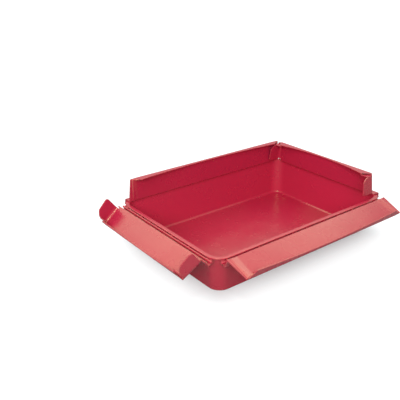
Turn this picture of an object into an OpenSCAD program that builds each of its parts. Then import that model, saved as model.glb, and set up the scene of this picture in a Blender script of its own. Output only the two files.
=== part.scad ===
// Litter pan with a fold-down rim: an open pan and four hinged rim panels.
// Millimetres, Z up. Origin: centre of the pan's underside on the floor.
// X runs along the long side, Y along the short side. Drawn in the pose for emptying:
// left end panel and front panel swung out, back and right end panels standing.

/* [Pan] */
// outer length over the lip
pan_l = 480; // [400:1:560]
// outer width over the lip
pan_w = 330; // [280:1:420]
// height of the lip's top face above the floor
pan_h = 86; // [70:1:130]
// corner radius of the lip in plan
lip_r = 30; // [25:1:50]
// width of the flat lip around the opening
lip_w = 8; // [6:0.5:12]
// thickness of the lip
lip_t = 2.5; // [2:0.1:4]
// moulded wall thickness of the pan
wall_t = 2.5; // [2:0.1:4]
// how far the foot of the wall stands in from the lip's outer edge
base_inset = 22; // [12:1:30]
// radius of the rounded wall corners
corner_r = 27; // [15:1:35]
// radius between the inner wall and the floor
floor_r = 6; // [3:0.5:10]
// depth of the marks that gate and ejector pins leave in the floor
mark_deep = 0.3; // [0.1:0.1:0.6]
// radius of the gate mark
gate_r = 2.5; // [1:0.5:5]
// how far the gate lies off the centre, both ways
gate_off = 12; // [0:1:20]
// radius of an ejector pin's mark
pin_r = 3.5; // [2:0.5:6]
// ejector pins: distance from the centre along the pan
pin_x = 120; // [60:1:160]
// ejector pins: distance from the centre across the pan
pin_y = 42; // [20:1:55]

/* [Hinge] */
// rail radius
rail_r = 2.5; // [2:0.1:3.5]
// rail centre below the lip's top face
rail_drop = 6.5; // [6:0.1:10]
// radial clearance of the claws on the rail
fit_clear = 0.08; // [0.03:0.01:0.1]
// wall thickness of claws, skirt and foot
claw_t = 2.42; // [2:0.02:3]
// gap kept between a closed panel's foot and the lip
rest_gap = 0.3; // [0.3:0.1:1]
// width of a rail bracket
web_w = 4; // [3:0.5:8]
// width of a claw
claw_w = 14; // [8:1:24]
// width of the claws at the two ends of a panel
end_claw_w = 7.5; // [5:0.5:12]
// distance between the claws of a long panel
side_pitch = 90; // [60:1:140]
// distance between the claws of an end panel
end_pitch = 55; // [40:1:90]
// open angle of the end panels
end_open = 128; // [90:1:130]
// open angle of the long panels
side_open = 110; // [90:1:130]

/* [Long panels] */
// height of a closed long panel above the lip
side_h = 51.5; // [40:0.5:80]
// panel wall thickness
panel_t = 2.4; // [2:0.1:3.5]
// outer face, in from the lip's edge
side_in = 10.6; // [8:0.1:16]
// gap from its end to the end of the lip, at the foot
side_end = 14.5; // [12:0.5:26]
// how much shorter each end is at the top
side_taper = 5; // [0:0.5:10]
// width of the bent band at each end
band_w = 20.5; // [10:0.5:26]
// bend of that band toward the opening, degrees
band_turn = 5.5; // [0:0.5:8]
// latch recess: distance from the panel's middle
latch_x = 197; // [150:1:205]
// latch recess: length and height
latch_l = 7; // [3:0.5:12]
latch_h = 3.5; // [2:0.5:6]
// flange width at mid length, over the wall
side_mid = 6; // [4:0.5:16]
// flange width at the ends, over the wall
side_wide = 16; // [12:0.5:26]

/* [End panels] */
// height of a closed end panel above the lip
end_h = 50; // [40:0.5:80]
// lean of the wall toward the opening, degrees
lean = 2; // [0.5:0.5:8]
// lean of the ears toward the opening, degrees
ear_lean = 7; // [0.5:0.5:9]
// outer face at its foot, in from the lip's edge
end_in = 13; // [12:0.1:18]
// outer face of an ear at foot level, in from the side of the lip
ear_in = 15.4; // [15.4:0.1:24]
// outer radius between end wall and ear
ear_r = 9; // [6:0.5:14]
// free edge of an ear at foot level, in from the end of the lip
ear_edge = 51; // [34:0.5:54]
// how much narrower an ear is at the top
ear_taper = 3; // [0:0.5:10]
// gap under the ear, above the lip
ear_gap = 6; // [4:0.5:14]
// end of the foot, in from the side of the lip
foot_end = 15.5; // [14:0.5:34]
// flange width at mid length, over the wall
end_mid = 5; // [4:0.5:16]
// flange width at the ends, over the wall
end_wide = 20; // [14:0.5:30]

/* [Mitres] */
// flange thickness
fl_t = 2.4; // [2:0.1:3.5]
// length of the low step beyond an end panel's mitre
step_w = 17.5; // [6:0.5:20]
// gap between that step and the long panel's flange
mitre_gap = 0.8; // [0.6:0.1:2]
// gap between an ear's corner and the long panel's flange as it swings past
swing_gap = 0.5; // [0.4:0.1:1]

/* [Hidden] */
$fn = 96;
hl = pan_l / 2;
hw = pan_w / 2;
axis_z = pan_h - rail_drop;
draft = (base_inset - lip_w + wall_t) / pan_h;
claw_in = rail_r + fit_clear;
claw_out = claw_in + claw_t;
foot_z = rail_drop + rest_gap;
foot_t = claw_t;
// the curl from foot to skirt: centre height and outer radius
curl_z = 5.2;
curl_r = foot_z + foot_t - curl_z;
side_z = rail_drop + side_h;
end_z = rail_drop + end_h;
side_hl = hl - side_end;
main_hl = side_hl - band_w;
foot_hl = hw - foot_end;
end_top = end_in + (end_z - foot_z) * tan(lean);
ear_shift = (end_z - foot_z) * tan(ear_lean);
ear_z = rail_drop + ear_gap;
// an end panel's mitre runs at 45 degrees: distance in plus distance along is constant
mitre = hw - ear_in + end_in - 2;
step_z = end_z - 2 * fl_t - 0.8;
side_cut = mitre + step_w + mitre_gap;
// the swing that an ear may have under the long panel's flange
ear_swing = sqrt(pow(side_cut - hw + ear_in + 0.8 * ear_shift, 2) + pow(side_z - fl_t, 2)) - swing_gap;
// a claw ends against the lip's underside when its panel is fully open
stop_a = 45.5;
// places of claws along each panel, and of the brackets that hold the rails between them
side_n = floor((side_hl - end_claw_w - claw_w) / side_pitch);
side_claws = [for (i = [-side_n:side_n]) i * side_pitch];
side_webs = [for (i = [-side_n:side_n - 1]) (i + 0.5) * side_pitch];
side_stub = side_hl - end_claw_w - web_w;
end_n = floor((foot_hl - end_claw_w - claw_w) / end_pitch);
end_claws = [for (i = [-end_n:end_n]) i * end_pitch];
end_webs = [for (i = [-end_n:end_n - 1]) (i + 0.5) * end_pitch];
end_stub = foot_hl - end_claw_w - web_w;
skirt_hl = side_n * side_pitch + claw_w / 2;
side_rail = side_hl + 3;
end_rail = foot_hl + 3;
// how far a corner's cylinder reaches past the walls that it blends into
bite = 0.03;
pan_c = "#b4243a";
panel_c = "#c0394a";

// ---- plain shapes -------------------------------------------------------------

// extrude a section drawn in (y, z) along x, centred
module along(len) {
    rotate([90, 0, 90]) linear_extrude(len, center = true) children();
}

// block whose end walls slope outward by kx going up and whose side walls by ky. They meet
// in rounded edges: each corner is a leaning cylinder that blends into both walls
module tub(l0, w0, r, z0, z1, kx, ky) {
    h = z1 - z0;
    l1 = l0 + 2 * h * kx;
    w1 = w0 + 2 * h * ky;
    // half the angle between the walls, measured square to the edge where they would meet
    nx = sqrt(1 + kx * kx);
    ny = sqrt(1 + ky * ky);
    half = (180 - acos(kx * ky / (nx * ny))) / 2;
    t = r / tan(half);
    c = r / sin(half);
    // that edge's heading and tilt, and the turn about it that faces the cutter outward
    head = atan(ky / kx);
    tilt = sign(kx) * atan(sqrt(kx * kx + ky * ky));
    out = [1 / nx, 1 / ny, -kx / nx - ky / ny];
    turn = atan2(out[1] * cos(head) - out[0] * sin(head),
                 cos(tilt) * (out[0] * cos(head) + out[1] * sin(head)) - out[2] * sin(tilt));
    difference() {
        intersection() {
            rotate([90, 0, 0]) linear_extrude(max(w0, w1) + 20, center = true)
                polygon([[-l0 / 2, z0], [l0 / 2, z0], [l1 / 2, z1], [-l1 / 2, z1]]);
            along(max(l0, l1) + 20)
                polygon([[-w0 / 2, z0], [w0 / 2, z0], [w1 / 2, z1], [-w1 / 2, z1]]);
        }
        for (sx = [0, 1], sy = [0, 1])
            mirror([sx, 0, 0]) mirror([0, sy, 0])
                translate([l0 / 2, w0 / 2, z0]) rotate([0, tilt, head]) rotate([0, 0, turn])
                    translate([0, 0, -20]) linear_extrude(h * 1.2 + 40)
                        difference() {
                            polygon([[12, 0],
                                     [-t * cos(half) + 3 * sin(half), t * sin(half) + 3 * cos(half)],
                                     [-t * cos(half), t * sin(half)],
                                     [-c, 0],
                                     [-t * cos(half), -t * sin(half)],
                                     [-t * cos(half) + 3 * sin(half), -t * sin(half) - 3 * cos(half)]]);
                            translate([bite - c, 0]) circle(r);
                        }
    }
}

// low block with a quarter round all around its lower edge
module floor_round(l, w, r, edge) {
    module side(a) {
        translate([-a / 2 + edge, 0]) square([a - 2 * edge, edge]);
        for (s = [-1, 1]) intersection() {
            translate([s * (a / 2 - edge), edge]) circle(edge);
            translate([-a / 2, 0]) square([a, edge]);
        }
    }
    rotate([90, 0, 0]) linear_extrude(w - 2 * r, center = true) side(l);
    along(l - 2 * r) side(w);
    for (sx = [-1, 1], sy = [-1, 1])
        translate([sx * (l / 2 - r), sy * (w / 2 - r), 0]) rotate_extrude()
            intersection() {
                side(2 * r);
                square([2 * r, edge]);
            }
}

// ---- pan ----------------------------------------------------------------------

// hinge rail on its brackets, which run in to the wall under the lip
module rail(half, webs) {
    in = base_inset;
    rotate([0, 90, 0]) cylinder(r = rail_r, h = 2 * half, center = true);
    for (x = webs) translate([x, 0, 0]) along(web_w)
        polygon([[0, -0.6 * rail_r], [in, -1.6 * rail_r], [in, rail_drop - lip_t / 2],
                 [0.6 * rail_r, rail_drop - lip_t / 2], [0, 0.8 * rail_r]]);
}

// flat lip with a full round along its outer edge
module lip() {
    e = lip_t / 2;
    module section(a) {
        square([a - lip_t, lip_t], center = true);
        for (s = [-1, 1]) translate([s * (a / 2 - e), 0]) intersection() {
            circle(e);
            translate([s * e, 0]) square([lip_t, lip_t], center = true);
        }
    }
    translate([0, 0, e]) {
        rotate([90, 0, 0]) linear_extrude(pan_w - 2 * lip_r, center = true) section(pan_l);
        along(pan_l - 2 * lip_r) section(pan_w);
        for (sx = [-1, 1], sy = [-1, 1])
            translate([sx * (hl - lip_r), sy * (hw - lip_r), 0]) rotate_extrude()
                intersection() {
                    section(2 * lip_r);
                    translate([0, -e]) square([lip_r, lip_t]);
                }
    }
}

module pan() {
    zc = wall_t + floor_r;
    inset = base_inset + wall_t - zc * draft;
    color(pan_c) difference() {
        union() {
            tub(pan_l - 2 * base_inset, pan_w - 2 * base_inset, corner_r, 0,
                pan_h - lip_t / 2, draft, draft);
            translate([0, 0, pan_h - lip_t]) lip();
            for (s = [0, 180]) rotate([0, 0, s]) {
                translate([0, -hw, axis_z]) rail(side_rail, [each side_webs, -side_stub, side_stub]);
                rotate([0, 0, 90]) translate([0, -hl, axis_z])
                    rail(end_rail, [each end_webs, -end_stub, end_stub]);
            }
        }
        tub(pan_l - 2 * inset, pan_w - 2 * inset, corner_r - wall_t, zc, pan_h + 1, draft, draft);
        translate([0, 0, wall_t])
            floor_round(pan_l - 2 * inset, pan_w - 2 * inset, corner_r - wall_t + 0.5, floor_r + 0.02);
        // moulding marks on the floor: the gate near the centre and the ejector pins
        translate([-gate_off, -gate_off, wall_t - mark_deep]) cylinder(r = gate_r, h = floor_r);
        for (x = [-1, 0, 1], y = [-1, 1])
            translate([x * pin_x, y * (x == 0 ? 2 * pin_y : pin_y), wall_t - mark_deep])
                cylinder(r = pin_r, h = floor_r);
    }
}

// ---- what all four panels share: foot, curl and skirt, claws -------------------

module curl() {
    translate([-1, curl_z]) intersection() {
        difference() {
            circle(curl_r);
            circle(curl_r - foot_t);
        }
        translate([-20, 0]) square([20, 20]);
    }
    translate([-claw_out, 0]) square([claw_t, curl_z]);
}

module foot_section(inner) {
    translate([-1, foot_z]) square([inner + 1, foot_t]);
}

// cove between the foot and the outside of the wall
module cove(outer, r) {
    difference() {
        translate([outer - r, foot_z + foot_t - 0.5]) square([r + 1, r + 0.5]);
        translate([outer - r, foot_z + foot_t + r]) circle(r);
    }
}

// ring sector around the rail, from its upper outer side to angle last
module claw(width, last) {
    far = 40;
    along(width) {
        difference() {
            circle(claw_out);
            circle(claw_in);
            polygon([[0, 0], [far * cos(last), far * sin(last)], [far, -far], [far, far],
                     [far * cos(112), far * sin(112)]]);
        }
        curl();
    }
}

// ---- long panel: x along, y in over the pan, z up, origin on the hinge axis ----

module side_panel() {
    difference() {
        side_body();
        latch_recess();
    }
}

module side_body() {
    last = 360 + stop_a - side_open;
    c = cos(band_turn);
    n = sin(band_turn);
    // wall in plan, with its end bands turned toward the opening
    half = [[main_hl, side_in],
            [main_hl + (band_w + 1) * c, side_in + (band_w + 1) * n],
            [main_hl + (band_w + 1) * c - panel_t * n, side_in + (band_w + 1) * n + panel_t * c],
            [main_hl - panel_t * tan(band_turn / 2), side_in + panel_t]];
    intersection() {
        translate([0, 0, foot_z]) linear_extrude(side_z - foot_z)
            polygon([for (p = half) p, for (i = [3:-1:0]) [-half[i][0], half[i][1]]]);
        rotate([90, 0, 0]) linear_extrude(2 * hw, center = true)
            polygon([[-side_hl, foot_z], [side_hl, foot_z],
                     [side_hl - side_taper, side_z], [side_taper - side_hl, side_z]]);
    }
    along(2 * main_hl) cove(side_in, 5);
    along(2 * side_hl) foot_section(side_in + panel_t);
    along(2 * skirt_hl) curl();
    for (x = side_claws) translate([x, 0, 0]) claw(claw_w, last);
    for (s = [-1, 1]) translate([s * (side_hl - end_claw_w / 2), 0, 0]) claw(end_claw_w, last);
    translate([0, 0, side_z - fl_t]) linear_extrude(fl_t) side_flange();
}

// blind recess in the wall under each end of the flange, where the ear's corner snaps in
module latch_recess() {
    for (s = [-1, 1])
        translate([s * latch_x, side_in + panel_t, side_z - fl_t - latch_h / 2 - 2])
            cube([latch_l, panel_t, latch_h], center = true);
}

module side_flange() {
    start = hl + hw - side_cut - side_in;
    end = start - side_wide;
    bend = (start - main_hl) * tan(band_turn);
    sag = side_wide - side_mid;
    r = (end * end + sag * sag) / (2 * sag);
    difference() {
        polygon([[-start, side_in + bend], [-main_hl, side_in], [main_hl, side_in],
                 [start, side_in + bend], [end, side_in + side_wide], [-end, side_in + side_wide]]);
        translate([0, side_in + side_mid + r]) circle(r, $fn = 360);
    }
}

// ---- end panel: same frame ----------------------------------------------------

// solid bounded by the outer faces of wall and ears, set in by d
module ear_block(d) {
    deep = 120;
    translate([0, end_in + deep, 0])
        tub(2 * (hw - ear_in - d), 2 * (deep - d), ear_r - d, foot_z, end_z,
            -tan(ear_lean), -tan(lean));
}

module end_panel() {
    last = 360 + stop_a - end_open;
    along(2 * foot_hl) {
        foot_section(end_in + panel_t);
        curl();
    }
    // lower wall, straight across between the ears
    along(2 * (hw - ear_in - ear_r)) {
        polygon([[end_in, foot_z], [end_in + panel_t, foot_z],
                 [end_in + panel_t + 10 * tan(lean), foot_z + 10], [end_in + 10 * tan(lean), foot_z + 10]]);
        cove(end_in, 5);
    }
    for (x = end_claws) translate([x, 0, 0]) claw(claw_w, last);
    for (s = [-1, 1]) translate([s * (foot_hl - end_claw_w / 2), 0, 0]) claw(end_claw_w, last);
    // wall and ears, trimmed to the ear's outline
    intersection() {
        difference() {
            ear_block(0);
            ear_block(panel_t);
        }
        along(pan_w) {
            translate([0, ear_z]) square([end_top + ear_r, end_z - ear_z]);
            intersection() {
                polygon([[0, ear_z], [ear_edge, ear_z],
                         [ear_edge - ear_taper, step_z + 1], [0, step_z + 1]]);
                circle(ear_swing, $fn = 180);
            }
        }
    }
    // top flange, low step beyond each mitre, and the riser that carries the step
    intersection() {
        ear_block(0);
        union() {
            translate([0, 0, end_z - fl_t]) linear_extrude(fl_t) end_flange();
            for (s = [0, 1]) mirror([s, 0, 0]) {
                translate([0, 0, step_z]) linear_extrude(fl_t) band_at(mitre - 3.4, mitre + step_w);
                translate([0, 0, step_z]) linear_extrude(end_z - step_z) intersection() {
                    band_at(mitre - 2.4, mitre);
                    end_flange();
                }
            }
        }
    }
}

// strip at 45 degrees across the corner, between two mitre distances
module band_at(a, b) {
    deep = end_top + end_wide;
    polygon([[a, 0], [b, 0], [b - deep, deep], [a - deep, deep]]);
}

module end_flange() {
    far = mitre - end_top - end_wide;
    sag = end_wide - end_mid;
    r = (far * far + sag * sag) / (2 * sag);
    difference() {
        polygon([[-mitre, 0], [mitre, 0], [far, end_top + end_wide], [-far, end_top + end_wide]]);
        translate([0, end_top + end_mid + r]) circle(r, $fn = 360);
    }
}

// ---- panels in place ----------------------------------------------------------

module front_panel() {
    color(panel_c) translate([0, -hw, axis_z]) rotate([side_open, 0, 0]) side_panel();
}

module back_panel() {
    color(panel_c) translate([0, hw, axis_z]) rotate([0, 0, 180]) side_panel();
}

module left_end_panel() {
    color(panel_c) translate([-hl, 0, axis_z]) rotate([0, 0, -90]) rotate([end_open, 0, 0])
        end_panel();
}

module right_end_panel() {
    color(panel_c) translate([hl, 0, axis_z]) rotate([0, 0, 90]) end_panel();
}

pan();
front_panel();
back_panel();
left_end_panel();
right_end_panel();
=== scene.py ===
import math

import bmesh
import bpy
from mathutils import Matrix, Vector


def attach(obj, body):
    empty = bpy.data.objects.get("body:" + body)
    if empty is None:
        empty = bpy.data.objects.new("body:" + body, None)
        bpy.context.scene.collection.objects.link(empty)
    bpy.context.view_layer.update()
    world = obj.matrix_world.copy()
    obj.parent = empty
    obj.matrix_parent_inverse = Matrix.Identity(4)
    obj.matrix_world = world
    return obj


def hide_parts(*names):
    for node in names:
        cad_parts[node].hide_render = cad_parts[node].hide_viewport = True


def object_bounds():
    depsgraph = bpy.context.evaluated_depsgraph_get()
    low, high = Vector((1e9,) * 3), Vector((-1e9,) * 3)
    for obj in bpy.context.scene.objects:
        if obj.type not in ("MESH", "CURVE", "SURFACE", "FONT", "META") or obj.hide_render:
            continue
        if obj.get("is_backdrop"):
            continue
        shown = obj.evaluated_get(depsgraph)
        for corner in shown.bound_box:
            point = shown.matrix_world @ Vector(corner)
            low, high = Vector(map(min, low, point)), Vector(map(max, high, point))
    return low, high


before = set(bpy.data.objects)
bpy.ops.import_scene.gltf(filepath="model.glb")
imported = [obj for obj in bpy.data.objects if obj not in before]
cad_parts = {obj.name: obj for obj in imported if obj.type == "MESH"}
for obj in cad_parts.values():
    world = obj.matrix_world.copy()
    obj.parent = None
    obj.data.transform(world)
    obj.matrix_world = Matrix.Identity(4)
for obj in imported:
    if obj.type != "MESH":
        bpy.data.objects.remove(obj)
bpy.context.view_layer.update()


# ---- Pan ------------------------------------------------------------------------------
# The pan is one injection moulding in dyed polypropylene: a deep tray whose walls slope
# outward so that it leaves the mould, a flat lip with a round edge, and, under the lip on
# each side, a round rail on short brackets that the panels' hooks snap over.

mm = 0.001
pan_long, pan_wide, pan_high = 480 * mm, 330 * mm, 86 * mm
lip_corner, lip_thick = 30 * mm, 2.5 * mm
wall_thick, wall_slope, wall_inset = 2.5 * mm, 16.5 / 86, 22 * mm
wall_corner = 26.07 * mm
rail_radius, rail_height = 2.5 * mm, 79.5 * mm


def open_for_edit(piece):
    """Select this piece alone and open its mesh for editing"""
    if bpy.context.mode != "OBJECT":
        bpy.ops.object.mode_set(mode="OBJECT")
    bpy.ops.object.select_all(action="DESELECT")
    piece.select_set(True)
    bpy.context.view_layer.objects.active = piece
    bpy.ops.object.mode_set(mode="EDIT")


def close_edit():
    bpy.ops.object.mode_set(mode="OBJECT")


def new_piece(name, shape, scale=(1, 1, 1), **start):
    """Add a primitive at its size and place, and open it for editing"""
    if bpy.context.mode != "OBJECT":
        bpy.ops.object.mode_set(mode="OBJECT")
    bpy.ops.object.select_all(action="DESELECT")
    getattr(bpy.ops.mesh, "primitive_" + shape + "_add")(**start)
    piece = bpy.context.object
    piece.name = piece.data.name = name
    piece.scale = scale
    bpy.ops.object.transform_apply(location=True, rotation=True, scale=True)
    bpy.ops.object.mode_set(mode="EDIT")
    return piece


def pick(kind, test):
    """Select the vertices, edges or faces that pass a test of their corner points"""
    bpy.ops.mesh.select_mode(type=kind)
    bpy.ops.mesh.select_all(action="DESELECT")
    mesh = bmesh.from_edit_mesh(bpy.context.object.data)
    for item in {"VERT": mesh.verts, "EDGE": mesh.edges, "FACE": mesh.faces}[kind]:
        points = [item.co] if kind == "VERT" else [v.co for v in item.verts]
        item.select = bool(test(points))
    mesh.select_flush_mode()
    bmesh.update_edit_mesh(bpy.context.object.data)


def every(test):
    """A test that each corner point has to pass"""
    return lambda points: all(test(p) for p in points)


def near(a, b):
    return abs(a - b) < 0.05 * mm


def modify(piece, kind, **values):
    """Add a modifier with these values and apply it"""
    if bpy.context.mode != "OBJECT":
        bpy.ops.object.mode_set(mode="OBJECT")
    change = piece.modifiers.new(kind.lower(), kind)
    for name, value in values.items():
        setattr(change, name, value)
    bpy.context.view_layer.objects.active = piece
    bpy.ops.object.modifier_apply(modifier=change.name)


def cut(piece, tool, way="DIFFERENCE"):
    """Cut a piece with a tool body, then throw the tool away"""
    modify(piece, "BOOLEAN", object=tool, operation=way, solver="EXACT")
    bpy.data.objects.remove(tool)


def join(piece, others):
    """Join other meshes into this piece"""
    if bpy.context.mode != "OBJECT":
        bpy.ops.object.mode_set(mode="OBJECT")
    bpy.ops.object.select_all(action="DESELECT")
    for o in others + [piece]:
        o.select_set(True)
    bpy.context.view_layer.objects.active = piece
    bpy.ops.object.join()


def soften(piece):
    """Shade the rounded edges smooth and keep the broad faces flat"""
    bpy.ops.object.select_all(action="DESELECT")
    piece.select_set(True)
    bpy.context.view_layer.objects.active = piece
    bpy.ops.object.shade_smooth_by_angle(angle=math.radians(40))
    modify(piece, "WEIGHTED_NORMAL", keep_sharp=True, weight=100)


# tray: a sloping box with rounded corners, open at the top
rim_low = pan_high - lip_thick
# a thickened wall's points lie this near their level, and the lip's edge is this far from the well
off_level, lip_clear = 0.3 * mm, 4 * mm
tray = new_piece("pan_moulding", "cube", size=1, location=(0, 0, rim_low / 2),
                 scale=(pan_long - 2 * wall_inset, pan_wide - 2 * wall_inset, rim_low))
grow = 2 * rim_low * wall_slope
pick("FACE", every(lambda p: near(p.z, rim_low)))
bpy.ops.transform.resize(value=(1 + grow / (pan_long - 2 * wall_inset),
                                1 + grow / (pan_wide - 2 * wall_inset), 1),
                         center_override=(0, 0, rim_low))
pick("EDGE", lambda ends: abs(ends[0].z - ends[1].z) > 0.5 * rim_low)
bpy.ops.mesh.bevel(offset=wall_corner, segments=10, profile=0.5, affect="EDGES")
pick("FACE", every(lambda p: near(p.z, rim_low)))
bpy.ops.mesh.delete(type="ONLY_FACE")

# lip: a rounded outline bridged from above, lowered to the tray's rim
above = rim_low + 20 * mm
bpy.ops.mesh.select_all(action="DESELECT")
bpy.ops.mesh.primitive_plane_add(size=1, location=(0, 0, above))
bpy.ops.transform.resize(value=(pan_long, pan_wide, 1), center_override=(0, 0, above))
bpy.ops.mesh.bevel(offset=lip_corner, segments=10, profile=0.5, affect="VERTICES")
pick("FACE", every(lambda p: near(p.z, above)))
bpy.ops.mesh.delete(type="ONLY_FACE")
pick("EDGE", lambda ends: near(ends[0].z, ends[1].z) and ends[0].z > 0.9 * rim_low)
bpy.ops.mesh.bridge_edge_loops()
pick("VERT", every(lambda p: near(p.z, above)))
bpy.ops.transform.translate(value=(0, 0, rim_low - above))
bpy.ops.mesh.select_all(action="SELECT")
bpy.ops.mesh.normals_make_consistent(inside=True)
close_edit()
modify(tray, "SOLIDIFY", thickness=wall_thick, offset=-1, use_even_offset=True)
open_for_edit(tray)
for flat in (wall_thick, pan_high):
    pick("VERT", every(lambda p: abs(p.z - flat) < off_level))
    bpy.ops.transform.resize(value=(1, 1, 0), center_override=(0, 0, flat))
close_edit()


def inside_lip(p):
    """How far a point lies in from the lip's outline"""
    x = abs(p.x) - pan_long / 2 + lip_corner
    y = abs(p.y) - pan_wide / 2 + lip_corner
    return lip_corner - (math.hypot(x, y) if x > 0 and y > 0 else max(x, y))


# full round along the lip's edge, small round at the opening
open_for_edit(tray)
pick("EDGE", lambda ends: all(inside_lip(p) < off_level for p in ends)
     and near(ends[0].z, ends[1].z))
bpy.ops.mesh.bevel(offset=1.2 * mm, segments=4, profile=0.5, affect="EDGES")
pick("EDGE", every(lambda p: near(p.z, pan_high) and inside_lip(p) > lip_clear))
bpy.ops.mesh.bevel(offset=0.8 * mm, segments=3, profile=0.5, affect="EDGES")
# round between the walls and the floor, inside and out
pick("EDGE", every(lambda p: abs(p.z - wall_thick) < off_level))
bpy.ops.mesh.bevel(offset=4.95 * mm, segments=6, profile=0.5, affect="EDGES")
pick("EDGE", every(lambda p: near(p.z, 0)))
bpy.ops.mesh.bevel(offset=2.5 * mm, segments=4, profile=0.5, affect="EDGES")
# small fillet under the lip
pick("EDGE", every(lambda p: near(p.z, rim_low) and inside_lip(p) > lip_clear))
bpy.ops.mesh.bevel(offset=0.8 * mm, segments=2, profile=0.5, affect="EDGES")
close_edit()

# shallow marks on the floor, left by the mould's gate near the middle and its six ejector pins
gate_mark, pin_mark = 2.5 * mm, 3.5 * mm
marks = [(-12 * mm, -12 * mm, gate_mark)]
marks += [(x * 120 * mm, y * (84 if x == 0 else 42) * mm, pin_mark)
          for x in (-1, 0, 1) for y in (-1, 1)]
for x, y, radius in marks:
    pin = new_piece("pin", "cylinder", vertices=32, radius=radius, depth=6 * mm,
                    location=(x, y, wall_thick + 2.7 * mm))
    close_edit()
    cut(tray, pin)

# hinge rails, each on brackets that run in to the wall under the lip
edge_to_wall = 7.9 * mm
long_rail, short_rail = 228.5 * mm, 152.5 * mm
long_brackets = (-214, -135, -45, 45, 135, 214)
short_brackets = (-138, -82.5, -27.5, 27.5, 82.5, 138)
rails = []
for side in range(4):
    long_side = side % 2 == 0
    half = long_rail if long_side else short_rail
    out = (pan_wide if long_side else pan_long) / 2
    stations = long_brackets if long_side else short_brackets
    rail = new_piece("rail", "cylinder", vertices=32, radius=rail_radius, depth=2 * half,
                     location=(0, -out, rail_height), rotation=(0, math.pi / 2, 0))
    pick("EDGE", lambda ends: near(ends[0].x, ends[1].x))
    bpy.ops.mesh.bevel(offset=0.5 * mm, segments=2, profile=0.5, affect="EDGES")
    close_edit()
    parts = [rail]
    for station in stations:
        low, high = rail_height - 1.5 * mm, rail_height + 5.25 * mm
        bracket = new_piece("bracket", "cube", size=1,
                            location=(station * mm, -out + edge_to_wall / 2, (low + high) / 2),
                            scale=(4 * mm, edge_to_wall, high - low))
        pick("VERT", every(lambda p: near(p.z, high) and p.y < -out + mm))
        bpy.ops.transform.translate(value=(0, 1.5 * mm, 0))
        pick("VERT", every(lambda p: near(p.z, low) and p.y > -out + mm))
        bpy.ops.transform.translate(value=(0, 0, -0.9 * mm))
        bpy.ops.mesh.select_all(action="SELECT")
        bpy.ops.mesh.bevel(offset=0.3 * mm, segments=1, affect="EDGES")
        close_edit()
        parts.append(bracket)
    join(rail, parts[1:])
    rail.rotation_euler = (0, 0, side * math.pi / 2)
    bpy.ops.object.transform_apply(location=True, rotation=True, scale=True)
    rails.append(rail)
join(tray, rails)
soften(tray)


# ---- moulded polypropylene of the pan
def link(tree, a, b):
    """Join one node's output to another's input"""
    tree.links.new(a, b)


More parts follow.
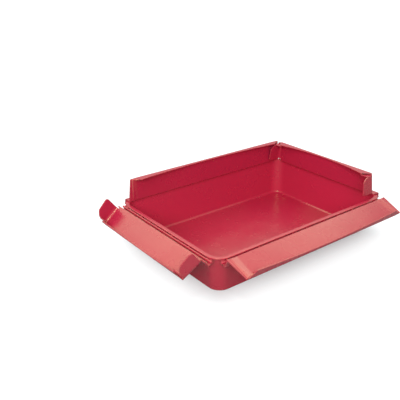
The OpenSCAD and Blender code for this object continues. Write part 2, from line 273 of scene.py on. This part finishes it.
def moulded_surface():
    """Shader group: colour with a painted highlight on rounded edges, roughness and normal of a satin
    moulded wall
    """
    g = bpy.data.node_groups.new("satin moulded wall", "ShaderNodeTree")
    face = g.interface
    face.new_socket("Dye", in_out="INPUT", socket_type="NodeSocketColor")
    face.new_socket("Deep dye", in_out="INPUT", socket_type="NodeSocketColor")
    face.new_socket("Painted edge highlight", in_out="INPUT", socket_type="NodeSocketColor")
    for name, value in (("Edge highlight strength", 0.5), ("Gloss roughness", 0.36), ("Grain", 0.1),
                        ("Waviness", 0.3)):
        s = face.new_socket(name, in_out="INPUT", socket_type="NodeSocketFloat")
        s.default_value = value
    face.new_socket("Colour", in_out="OUTPUT", socket_type="NodeSocketColor")
    face.new_socket("Roughness", in_out="OUTPUT", socket_type="NodeSocketFloat")
    face.new_socket("Normal", in_out="OUTPUT", socket_type="NodeSocketVector")
    n = g.nodes
    gin = n.new("NodeGroupInput")
    out = n.new("NodeGroupOutput")
    where = n.new("ShaderNodeTexCoord")

    # dye that clouds a little over a hand's width
    cloud = n.new("ShaderNodeTexNoise")
    cloud.inputs["Scale"].default_value = 7.0
    cloud.inputs["Detail"].default_value = 2.0
    link(g, where.outputs["Object"], cloud.inputs["Vector"])
    dye = n.new("ShaderNodeMix")
    dye.data_type = "RGBA"
    link(g, cloud.outputs["Fac"], dye.inputs["Factor"])
    link(g, gin.outputs["Dye"], dye.inputs["A"])
    link(g, gin.outputs["Deep dye"], dye.inputs["B"])

    # rounded edges: the normal of a soft bevel, and how far it departs from the flat one; there the
    # colour is mixed toward a pale red, a painted highlight along the edges
    soft = n.new("ShaderNodeBevel")
    soft.samples = 6
    soft.inputs["Radius"].default_value = 0.0011
    geo = n.new("ShaderNodeNewGeometry")
    dot = n.new("ShaderNodeVectorMath")
    dot.operation = "DOT_PRODUCT"
    link(g, soft.outputs["Normal"], dot.inputs[0])
    link(g, geo.outputs["True Normal"], dot.inputs[1])
    edge = n.new("ShaderNodeMapRange")
    edge.inputs["From Min"].default_value = 1.0
    edge.inputs["From Max"].default_value = 0.86
    link(g, dot.outputs["Value"], edge.inputs["Value"])
    edge_highlight_amount = n.new("ShaderNodeMath")
    edge_highlight_amount.operation = "MULTIPLY"
    link(g, edge.outputs["Result"], edge_highlight_amount.inputs[0])
    link(g, gin.outputs["Edge highlight strength"], edge_highlight_amount.inputs[1])
    # the pale red mixed in at the edges is a painted highlight
    colour = n.new("ShaderNodeMix")
    colour.data_type = "RGBA"
    link(g, edge_highlight_amount.outputs["Value"], colour.inputs["Factor"])
    link(g, dye.outputs["Result"], colour.inputs["A"])
    link(g, gin.outputs["Painted edge highlight"], colour.inputs["B"])
    link(g, colour.outputs["Result"], out.inputs["Colour"])

    # satin: gloss varies softly over a few centimetres
    satin = n.new("ShaderNodeTexNoise")
    satin.inputs["Scale"].default_value = 24.0
    satin.inputs["Detail"].default_value = 3.0
    link(g, where.outputs["Object"], satin.inputs["Vector"])
    vary = n.new("ShaderNodeMath")
    vary.operation = "MULTIPLY_ADD"
    vary.inputs[1].default_value = 0.12
    link(g, satin.outputs["Fac"], vary.inputs[0])
    link(g, gin.outputs["Gloss roughness"], vary.inputs[2])
    link(g, vary.outputs["Value"], out.inputs["Roughness"])

    # fine grain over the slow waviness of a thin wall
    wave = n.new("ShaderNodeTexNoise")
    wave.inputs["Scale"].default_value = 11.0
    wave.inputs["Detail"].default_value = 1.0
    link(g, where.outputs["Object"], wave.inputs["Vector"])
    slow = n.new("ShaderNodeBump")
    slow.inputs["Distance"].default_value = 0.004
    link(g, gin.outputs["Waviness"], slow.inputs["Strength"])
    link(g, wave.outputs["Fac"], slow.inputs["Height"])
    link(g, soft.outputs["Normal"], slow.inputs["Normal"])
    pits = n.new("ShaderNodeTexNoise")
    pits.inputs["Scale"].default_value = 1400.0
    pits.inputs["Detail"].default_value = 2.0
    link(g, where.outputs["Object"], pits.inputs["Vector"])
    fine = n.new("ShaderNodeBump")
    fine.inputs["Distance"].default_value = 0.00015
    link(g, gin.outputs["Grain"], fine.inputs["Strength"])
    link(g, pits.outputs["Fac"], fine.inputs["Height"])
    link(g, slow.outputs["Normal"], fine.inputs["Normal"])
    link(g, fine.outputs["Normal"], out.inputs["Normal"])
    return g


satin_wall = moulded_surface()


def red_plastic(name, dye, deep, pale, edge, rough):
    """Glossy dyed polypropylene, with this dye and this much painted highlight along its edges"""
    m = bpy.data.materials.new(name)
    m.use_nodes = True
    t = m.node_tree
    shader = t.nodes["Principled BSDF"]
    shader.inputs["IOR"].default_value = 1.55
    shader.inputs["Specular IOR Level"].default_value = 1.0
    shader.inputs["Specular Tint"].default_value = (0.92, 0.90, 0.50, 1)
    g = t.nodes.new("ShaderNodeGroup")
    g.node_tree = satin_wall
    g.inputs["Dye"].default_value = (*dye, 1)
    g.inputs["Deep dye"].default_value = (*deep, 1)
    g.inputs["Painted edge highlight"].default_value = (*pale, 1)
    g.inputs["Edge highlight strength"].default_value = edge
    g.inputs["Gloss roughness"].default_value = rough
    link(t, g.outputs["Colour"], shader.inputs["Base Color"])
    link(t, g.outputs["Roughness"], shader.inputs["Roughness"])
    link(t, g.outputs["Normal"], shader.inputs["Normal"])
    return m


# pan and panels are one plastic; the pan's dye is set a little lighter than the panels' as painted
# light on its walls
pan_red = red_plastic("pan red", (0.50, 0.0185, 0.058), (0.46, 0.0155, 0.051),
                      (0.74, 0.22, 0.17), 0.5, 0.20)
tray.data.materials.append(pan_red)
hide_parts("pan")
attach(tray, "pan")


# ---- Long panels ------------------------------------------------------------------------
# Front and back panel come from one mould: a thin upright wall on a foot that curls over the
# rail, with hooks that snap round it, bands at the ends that lean a little toward the
# opening, and a flange along the top that is narrow in the middle and wide at the mitres.

sheet = 2.4 * mm
foot_top, curl_height = 9.22 * mm, 5.2 * mm
hook_inner, hook_outer = 2.58 * mm, 5.0 * mm
wide_hook, narrow_hook = 14 * mm, 7.5 * mm
hook_first, long_hook_last = 112, 295.5


def hook(middle, width, first, last):
    """A ring sector round the rail, spun from a small rectangle across the hook"""
    a = math.radians(first)
    ring = (hook_inner + hook_outer) / 2
    piece = new_piece("hook", "plane", size=1, rotation=(a, 0, 0),
                      location=(middle, ring * math.cos(a), ring * math.sin(a)),
                      scale=(width, hook_outer - hook_inner, 1))
    bpy.ops.mesh.select_all(action="SELECT")
    bpy.ops.mesh.spin(steps=14, angle=-math.radians(last - first), center=(0, 0, 0),
                      axis=(1, 0, 0))
    bpy.ops.mesh.select_all(action="SELECT")
    bpy.ops.mesh.remove_doubles(threshold=0.005 * mm)
    bpy.ops.mesh.normals_make_consistent(inside=False)
    close_edit()
    modify(piece, "BEVEL", width=0.3 * mm, segments=2, limit_method="ANGLE",
           angle_limit=math.radians(50))
    return piece


def columns(cuts):
    """Cut the open mesh across at these places along it, on both sides of the middle"""
    for x in cuts:
        for place in {x, -x}:
            bpy.ops.mesh.select_all(action="SELECT")
            bpy.ops.mesh.bisect(plane_co=(place, 0, 0), plane_no=(1, 0, 0))


long_half, band_start = 225.5 * mm, 205 * mm
skirt_half, notch_end = 187 * mm, 218 * mm
wall_out, long_top = 10.6 * mm, 58 * mm
flange_start, flange_wide, flange_narrow = 215.5 * mm, 16 * mm, 6 * mm
flange_end = flange_start - flange_wide
band_bend, end_slant = math.tan(math.radians(5.5)), 5 * mm
arc_rise = flange_wide - flange_narrow
arc_round = (flange_end ** 2 + arc_rise ** 2) / (2 * arc_rise)

long_panel = new_piece("long_panel", "plane", size=1,
                       location=(0, (wall_out - mm) / 2, foot_top),
                       scale=(2 * long_half, wall_out + mm, 1))
columns([x * 20 * mm for x in range(10)]
        + [skirt_half, flange_end, band_start, flange_start, notch_end])
# wall up from the inner edge of the foot, flange in from the wall's top edge
pick("EDGE", every(lambda p: near(p.y, wall_out)))
bpy.ops.mesh.extrude_region_move(TRANSFORM_OT_translate={"value": (0, 0, long_top - foot_top)})
pick("EDGE", every(lambda p: near(p.z, long_top) and abs(p.x) < flange_start + 0.1 * mm))
bpy.ops.mesh.extrude_region_move(TRANSFORM_OT_translate={"value": (0, flange_wide, 0)})
# the flange's free edge: a long arc, then a mitre at 45 degrees down to the wall
for x in sorted({round(v.co.x, 5) for v in bmesh.from_edit_mesh(long_panel.data).verts}):
    if abs(x) > flange_start + 0.1 * mm:
        continue
    reach = (flange_narrow + arc_round - math.sqrt(arc_round ** 2 - x ** 2)
             if abs(x) <= flange_end + 0.01 * mm else flange_start - abs(x))
    pick("VERT", every(lambda p: abs(p.x - x) < 0.02 * mm and near(p.y, wall_out + flange_wide)))
    bpy.ops.transform.translate(value=(0, reach - flange_wide, 0))
bpy.ops.mesh.select_all(action="SELECT")
bpy.ops.mesh.remove_doubles(threshold=0.02 * mm)
# each end is shorter at the top, and its band is bent toward the opening
pick("VERT", every(lambda p: near(p.z, long_top) and abs(p.x) > long_half - 0.1 * mm))
bpy.ops.transform.resize(value=(1 - end_slant / long_half, 1, 1), center_override=(0, 0, 0))
for x in (flange_start, notch_end, long_half, long_half - end_slant):
    pick("VERT", every(lambda p: near(abs(p.x), x) and p.y > wall_out - 0.1 * mm))
    bpy.ops.transform.translate(value=(0, (x - band_start) * band_bend, 0))
# curl over the rail, with the skirt below it, along the middle and at the two ends
pick("EDGE", lambda ends: all(near(p.y, -mm) for p in ends) and not
     skirt_half < abs(ends[0].x + ends[1].x) / 2 < notch_end)
bpy.ops.mesh.spin(steps=7, angle=-math.radians(90), center=(0, -mm, curl_height),
                  axis=(1, 0, 0))
bpy.ops.mesh.extrude_region_move(TRANSFORM_OT_translate={"value": (0, 0, -curl_height)})
bpy.ops.mesh.select_all(action="SELECT")
bpy.ops.mesh.remove_doubles(threshold=0.02 * mm)
bpy.ops.mesh.normals_make_consistent(inside=False)
close_edit()
modify(long_panel, "SOLIDIFY", thickness=sheet, offset=-1, use_even_offset=True)
# cove between the foot and the outside of the wall
open_for_edit(long_panel)
pick("EDGE", lambda ends: all(near(p.z, foot_top) and p.y > wall_out - 0.1 * mm for p in ends)
     and abs(ends[0].x + ends[1].x) < 2 * long_half - mm)
bpy.ops.mesh.bevel(offset=4 * mm, segments=4, profile=0.5, affect="EDGES")
close_edit()
# blind recess under each end of the flange, where the ear of an end panel snaps in
for side in (-1, 1):
    recess = new_piece("recess", "cube", size=1, scale=(7 * mm, sheet, 3.5 * mm),
                       location=(side * 197 * mm, wall_out + sheet, 51.85 * mm))
    close_edit()
    cut(long_panel, recess)
modify(long_panel, "BEVEL", width=0.5 * mm, segments=2, limit_method="ANGLE",
       angle_limit=math.radians(40))
join(long_panel, [hook(x * mm, wide_hook if abs(x) < 200 else narrow_hook, hook_first, long_hook_last)
                  for x in (-221.75, -180, -90, 0, 90, 180, 221.75)])
soften(long_panel)


def hang(panel, name, at, turn, swing):
    """A copy of a panel, swung about its hinge, turned to its side of the pan and put in place"""
    piece = panel.copy()
    piece.data = panel.data.copy()
    piece.name = piece.data.name = name
    bpy.context.scene.collection.objects.link(piece)
    piece.matrix_world = (Matrix.Translation(at) @ Matrix.Rotation(math.radians(turn), 4, "Z")
                          @ Matrix.Rotation(math.radians(swing), 4, "X"))
    bpy.ops.object.select_all(action="DESELECT")
    piece.select_set(True)
    bpy.context.view_layer.objects.active = piece
    bpy.ops.object.transform_apply(location=True, rotation=True, scale=True)
    return piece


front = hang(long_panel, "front_panel_moulding", (0, -pan_wide / 2, rail_height), 0, 110)
back = hang(long_panel, "back_panel_moulding", (0, pan_wide / 2, rail_height), 180, 0)
bpy.data.objects.remove(long_panel)

# the panels' dye is set a little darker than the pan's as painted shade on the open panels
panel_red = red_plastic("panel red", (0.47, 0.0175, 0.058), (0.43, 0.0145, 0.051),
                        (0.74, 0.22, 0.17), 0.5, 0.21)
for piece, node in ((front, "front_panel"), (back, "back_panel")):
    piece.data.materials.append(panel_red)
    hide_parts(node)
    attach(piece, node)


# ---- End panels -------------------------------------------------------------------------
# Left and right panel come from one mould too: foot, curl and hooks as on the long panels, a
# wall with an ear at each end that stands inside the long panels' ends, a curved flange with
# mitred ends, and a low shelf beyond each mitre that fills the strip up to the long panel's.

end_half, ear_out = 149.5 * mm, 149.6 * mm
end_out, end_top = 13 * mm, 56.5 * mm
wall_lean, ear_lean = math.tan(math.radians(2)), math.tan(math.radians(7))
ear_low, ear_high, ear_reach = 12.5 * mm, 51.9 * mm, 51 * mm
ear_tip, top_cut, tip_round = 40 * mm, 10.4 * mm, 6 * mm
wall_half, corner_in, mitre = 140.6 * mm, 23.74 * mm, 160.6 * mm
end_wide, end_narrow = 20 * mm, 5 * mm
under, end_hook_last = 6.8 * mm, 277.5


def ear_block(name, low, high):
    """The solid that wall and ears lie on: a box that leans in going up, with rounded corners"""
    deep = 60 * mm
    block = new_piece(name, "cube", size=1, location=(0, end_out + deep / 2, (low + high) / 2),
                      scale=(2 * ear_out, deep, high - low))
    # lean the ears and the wall about the foot's level
    for z in (low, high):
        pick("VERT", every(lambda p: near(p.z, z)))
        bpy.ops.transform.resize(value=(1 - (z - under) * ear_lean / ear_out, 1, 1),
                                 center_override=(0, 0, z))
        pick("VERT", every(lambda p: near(p.z, z) and p.y < end_out + mm))
        bpy.ops.transform.translate(value=(0, (z - under) * wall_lean, 0))
    pick("EDGE", lambda ends: all(p.y < end_out + 4 * mm for p in ends)
         and abs(ends[0].z - ends[1].z) > 10 * mm)
    bpy.ops.mesh.bevel(offset=8.96 * mm, segments=8, profile=0.5, affect="EDGES")
    return block


end_panel = ear_block("end_panel", foot_top, end_top)
# keep the wall and the two ears, and trim the ears all round
pick("FACE", lambda p: all(near(c.z, foot_top) for c in p) or all(near(c.z, end_top) for c in p)
     or all(c.y > end_out + 50 * mm for c in p))
bpy.ops.mesh.delete(type="FACE")
for point, across in (((0, 0, ear_low), (0, 0, 1)), ((0, 0, ear_high), (0, 0, 1)),
                      ((0, corner_in, 0), (0, 1, 0)), ((wall_half, 0, 0), (1, 0, 0)),
                      ((-wall_half, 0, 0), (1, 0, 0))):
    bpy.ops.mesh.select_all(action="SELECT")
    bpy.ops.mesh.bisect(plane_co=point, plane_no=across)
taper = Vector((0, ear_high - ear_low, 3 * mm)).normalized()
bpy.ops.mesh.select_all(action="SELECT")
bpy.ops.mesh.bisect(plane_co=(0, ear_reach, ear_low), plane_no=taper, clear_outer=True)
tiny = 0.01 * mm
pick("FACE", lambda p: all(c.z < ear_low + tiny and abs(c.x) > wall_half - tiny for c in p)
     or all(c.z > ear_high - tiny and c.y > corner_in - 0.04 * mm for c in p))
bpy.ops.mesh.delete(type="FACE")
# each ear's top corner is cut back so that it swings past the long panel's flange
pick("VERT", every(lambda p: near(p.z, ear_high) and p.y > ear_tip))
bpy.ops.mesh.bevel(offset=top_cut, segments=4, profile=0.3, affect="VERTICES")
# and its lower corner is rounded, clear of the long panel's wall
pick("VERT", every(lambda p: near(p.z, ear_low) and p.y > ear_tip))
bpy.ops.mesh.bevel(offset=tip_round, segments=5, profile=0.5, affect="VERTICES")
# foot out from the wall, a little longer than the wall, and the curl and skirt along all of it
foot_in = end_out + (foot_top - under) * wall_lean
pick("EDGE", every(lambda p: near(p.z, foot_top)))
bpy.ops.mesh.extrude_region_move(TRANSFORM_OT_translate={"value": (0, -mm - foot_in, 0)})
for side in (-1, 1):
    pick("EDGE", every(lambda p: near(p.x, side * wall_half) and near(p.z, foot_top)))
    bpy.ops.mesh.extrude_region_move(
        TRANSFORM_OT_translate={"value": (side * (end_half - wall_half), 0, 0)})
pick("EDGE", every(lambda p: near(p.y, -mm)))
bpy.ops.mesh.spin(steps=7, angle=-math.radians(90), center=(0, -mm, curl_height),
                  axis=(1, 0, 0))
bpy.ops.mesh.extrude_region_move(TRANSFORM_OT_translate={"value": (0, 0, -curl_height)})
bpy.ops.mesh.select_all(action="SELECT")
bpy.ops.mesh.remove_doubles(threshold=0.02 * mm)
bpy.ops.mesh.normals_make_consistent(inside=False)
close_edit()
modify(end_panel, "SOLIDIFY", thickness=sheet, offset=-1, use_even_offset=True)
open_for_edit(end_panel)
# the foot's underside is level, clear of the pan's lip, right up to the ends of the wall
pick("VERT", every(lambda p: 0.3 * mm < under - p.z < 0.9 * mm and p.y > end_out
                   and 139 * mm < abs(p.x) < 142 * mm))
bpy.ops.transform.resize(value=(1, 1, 0), center_override=(0, 0, under))
pick("EDGE", every(lambda p: near(p.z, foot_top) and near(p.y, foot_in)
                   and abs(p.x) < wall_half + 0.1 * mm))
bpy.ops.mesh.bevel(offset=4 * mm, segments=4, profile=0.5, affect="EDGES")
close_edit()
modify(end_panel, "BEVEL", width=0.5 * mm, segments=2, limit_method="ANGLE",
       angle_limit=math.radians(40))

# flange: a plate with mitred ends and a long arc cut out of its free edge
deep_edge = 34.74 * mm
far_half = mitre - deep_edge
arc_deep = end_wide - end_narrow
arc = (far_half ** 2 + arc_deep ** 2) / (2 * arc_deep)
flange = new_piece("flange", "cube", size=1, location=(0, deep_edge / 2, end_top - sheet / 2),
                   scale=(2 * mitre, deep_edge, sheet))
pick("VERT", every(lambda p: p.y > deep_edge / 2))
bpy.ops.transform.resize(value=(far_half / mitre, 1, 1), center_override=(0, 0, 0))
close_edit()
curve = new_piece("curve", "cylinder", vertices=480, radius=arc, depth=20 * mm,
                  location=(0, deep_edge - arc_deep + arc, end_top))
close_edit()
cut(flange, curve)
plates = [flange]
# shelf beyond each mitre, and the riser that carries it
for side in (-1, 1):
    for name, start, width, low, high in (("shelf", 157.2, 20.9, 50.9, 53.3),
                                          ("riser", 158.2, 2.4, 50.9, 56.5)):
        plate = new_piece(name, "cube", size=1,
                          location=(side * (start + width / 2) * mm, deep_edge / 2,
                                    (low + high) / 2 * mm),
                          scale=(width * mm, deep_edge, (high - low) * mm))
        pick("VERT", every(lambda p: p.y > deep_edge / 2))
        bpy.ops.transform.translate(value=(-side * deep_edge, 0, 0))
        close_edit()
        plates.append(plate)
for plate in plates:
    block = ear_block("block", 40 * mm, 70 * mm)
    close_edit()
    cut(plate, block, "INTERSECT")
    modify(plate, "BEVEL", width=0.4 * mm, segments=2, limit_method="ANGLE",
           angle_limit=math.radians(40))
join(end_panel, plates + [hook(x * mm, wide_hook if abs(x) < 140 else narrow_hook,
                               hook_first, end_hook_last)
                          for x in (-145.75, -110, -55, 0, 55, 110, 145.75)])
soften(end_panel)
left = hang(end_panel, "left_panel_moulding", (-pan_long / 2, 0, rail_height), -90, 128)
right = hang(end_panel, "right_panel_moulding", (pan_long / 2, 0, rail_height), 90, 0)
bpy.data.objects.remove(end_panel)

for piece, node in ((left, "left_end_panel"), (right, "right_end_panel")):
    piece.data.materials.append(panel_red)
    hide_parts(node)
    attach(piece, node)


# ---- Floor and light -----------------------------------------------------------------
# A sheet of pale paper under the pan that runs out to plain white, and a plain surround that
# is brighter behind the pan than in front of it.

bpy.ops.object.select_all(action="DESELECT")
bpy.ops.mesh.primitive_plane_add(size=40, location=(0, 0, -0.3 * mm))
floor = bpy.context.object
floor.name = "floor"
paper = bpy.data.materials.new("white paper")
paper.use_nodes = True
t = paper.node_tree
sheet_shader = t.nodes["Principled BSDF"]
sheet_shader.inputs["Base Color"].default_value = (0.34, 0.365, 0.37, 1)
sheet_shader.inputs["Roughness"].default_value = 0.9
sheet_shader.inputs["Specular IOR Level"].default_value = 0.0
sheet_shader.inputs["Emission Color"].default_value = (1, 1, 1, 1)
# the paper's own glow falls toward the pan, as a painted shadow close round its foot: how far a point
# lies out from the pan's foot
ray = t.nodes.new("ShaderNodeLightPath")
where = t.nodes.new("ShaderNodeTexCoord")
one_side = t.nodes.new("ShaderNodeVectorMath")
one_side.operation = "ABSOLUTE"
t.links.new(where.outputs["Object"], one_side.inputs[0])
past_pan = t.nodes.new("ShaderNodeVectorMath")
past_pan.operation = "SUBTRACT"
past_pan.inputs[1].default_value = (205 * mm, 133 * mm, 0)
t.links.new(one_side.outputs["Vector"], past_pan.inputs[0])
outside = t.nodes.new("ShaderNodeVectorMath")
outside.operation = "MAXIMUM"
outside.inputs[1].default_value = (0, 0, 0)
t.links.new(past_pan.outputs["Vector"], outside.inputs[0])
away = t.nodes.new("ShaderNodeVectorMath")
away.operation = "LENGTH"
t.links.new(outside.outputs["Vector"], away.inputs[0])
# painted shadow: the paper glows less within a few centimetres of the pan's foot
painted_shadow_near_pan = t.nodes.new("ShaderNodeMapRange")
painted_shadow_near_pan.interpolation_type = "SMOOTHSTEP"
painted_shadow_near_pan.inputs["From Min"].default_value = -20 * mm
painted_shadow_near_pan.inputs["From Max"].default_value = 75 * mm
painted_shadow_near_pan.inputs["To Min"].default_value = 0.30
painted_shadow_near_pan.inputs["To Max"].default_value = 0.78
t.links.new(away.outputs["Value"], painted_shadow_near_pan.inputs["Value"])
far_off = t.nodes.new("ShaderNodeMapRange")
far_off.inputs["From Min"].default_value = 0.1
far_off.inputs["From Max"].default_value = 1.3
far_off.inputs["To Min"].default_value = 0.0
far_off.inputs["To Max"].default_value = 0.35
t.links.new(away.outputs["Value"], far_off.inputs["Value"])
lift = t.nodes.new("ShaderNodeMath")
t.links.new(painted_shadow_near_pan.outputs["Result"], lift.inputs[0])
t.links.new(far_off.outputs["Result"], lift.inputs[1])
# under the pan the paper lights the underside too, which is black from below without it
below_pan = t.nodes.new("ShaderNodeMath")
below_pan.operation = "LESS_THAN"
below_pan.inputs[1].default_value = 6 * mm
t.links.new(away.outputs["Value"], below_pan.inputs[0])
shown = t.nodes.new("ShaderNodeMath")
shown.operation = "MAXIMUM"
t.links.new(ray.outputs["Is Camera Ray"], shown.inputs[0])
t.links.new(below_pan.outputs["Value"], shown.inputs[1])
seen = t.nodes.new("ShaderNodeMath")
seen.operation = "MULTIPLY"
t.links.new(shown.outputs["Value"], seen.inputs[0])
t.links.new(lift.outputs["Value"], seen.inputs[1])
t.links.new(seen.outputs["Value"], sheet_shader.inputs["Emission Strength"])
# seen from below, the paper is clear, so that the part's underside can be looked at
underneath = t.nodes.new("ShaderNodeNewGeometry")
clear = t.nodes.new("ShaderNodeBsdfTransparent")
either = t.nodes.new("ShaderNodeMixShader")
t.links.new(underneath.outputs["Backfacing"], either.inputs["Fac"])
t.links.new(sheet_shader.outputs["BSDF"], either.inputs[1])
t.links.new(clear.outputs["BSDF"], either.inputs[2])
t.links.new(either.outputs["Shader"], t.nodes["Material Output"].inputs["Surface"])
floor.data.materials.append(paper)
floor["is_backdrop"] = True

world = bpy.data.worlds.new("surround")
bpy.context.scene.world = world
world.use_nodes = True
t = world.node_tree
ray = t.nodes.new("ShaderNodeLightPath")
where = t.nodes.new("ShaderNodeTexCoord")
facing = t.nodes.new("ShaderNodeVectorMath")
facing.operation = "DOT_PRODUCT"
facing.inputs[1].default_value = (0.50, 0.65, 0.57)
t.links.new(where.outputs["Generated"], facing.inputs[0])
round_about = t.nodes.new("ShaderNodeMapRange")
round_about.interpolation_type = "SMOOTHSTEP"
round_about.inputs["From Min"].default_value = -0.7
round_about.inputs["From Max"].default_value = 0.8
round_about.inputs["To Min"].default_value = 0.12
round_about.inputs["To Max"].default_value = 0.62
t.links.new(facing.outputs["Value"], round_about.inputs["Value"])
level = t.nodes.new("ShaderNodeMix")
level.inputs["B"].default_value = 1.0
t.links.new(ray.outputs["Is Camera Ray"], level.inputs["Factor"])
t.links.new(round_about.outputs["Result"], level.inputs["A"])
t.links.new(level.outputs["Result"], t.nodes["Background"].inputs["Strength"])
t.nodes["Background"].inputs["Color"].default_value = (1, 1, 1, 1)


def soft_lamp(name, size, place, aim, watts):
    """A square-cornered area lamp that points from its place at its aim"""
    lamp = bpy.data.lights.new(name, "AREA")
    lamp.shape = "RECTANGLE"
    lamp.size, lamp.size_y = size
    lamp.energy = watts
    o = bpy.data.objects.new(name, lamp)
    bpy.context.scene.collection.objects.link(o)
    o.location = place
    o.rotation_euler = (Vector(aim) - Vector(place)).to_track_quat("-Z", "Y").to_euler()
    return o


soft_lamp("back softbox", (3.8, 1.1), (0.49, 1.12, 1.72), (0, 0, 0.05), 26)
fill = soft_lamp("front fill", (2.4, 1.0), (-1.6, -1.5, 1.3), (0, 0, 0.05), 62)
fill.visible_glossy = False
soft_lamp("key lamp", (0.24, 0.24), (-0.85, -0.55, 1.7), (0, 0, 0.05), 5.5)

# the camera looks down from in front, on the left
cam = bpy.data.cameras.new("camera")
cam.sensor_width = 36
cam.lens = 51.24
view = bpy.data.objects.new("camera", cam)
bpy.context.scene.collection.objects.link(view)
view.location = (-0.7949, -0.8370, 0.5911)
sight = Vector((0.55895, 0.72384, -0.40451))
turn = sight.to_track_quat("-Z", "Y")
view.rotation_euler = turn.to_euler()
bpy.context.scene.camera = view

scene = bpy.context.scene
scene.view_settings.view_transform = "Standard"

low, high = (list(c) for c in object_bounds())
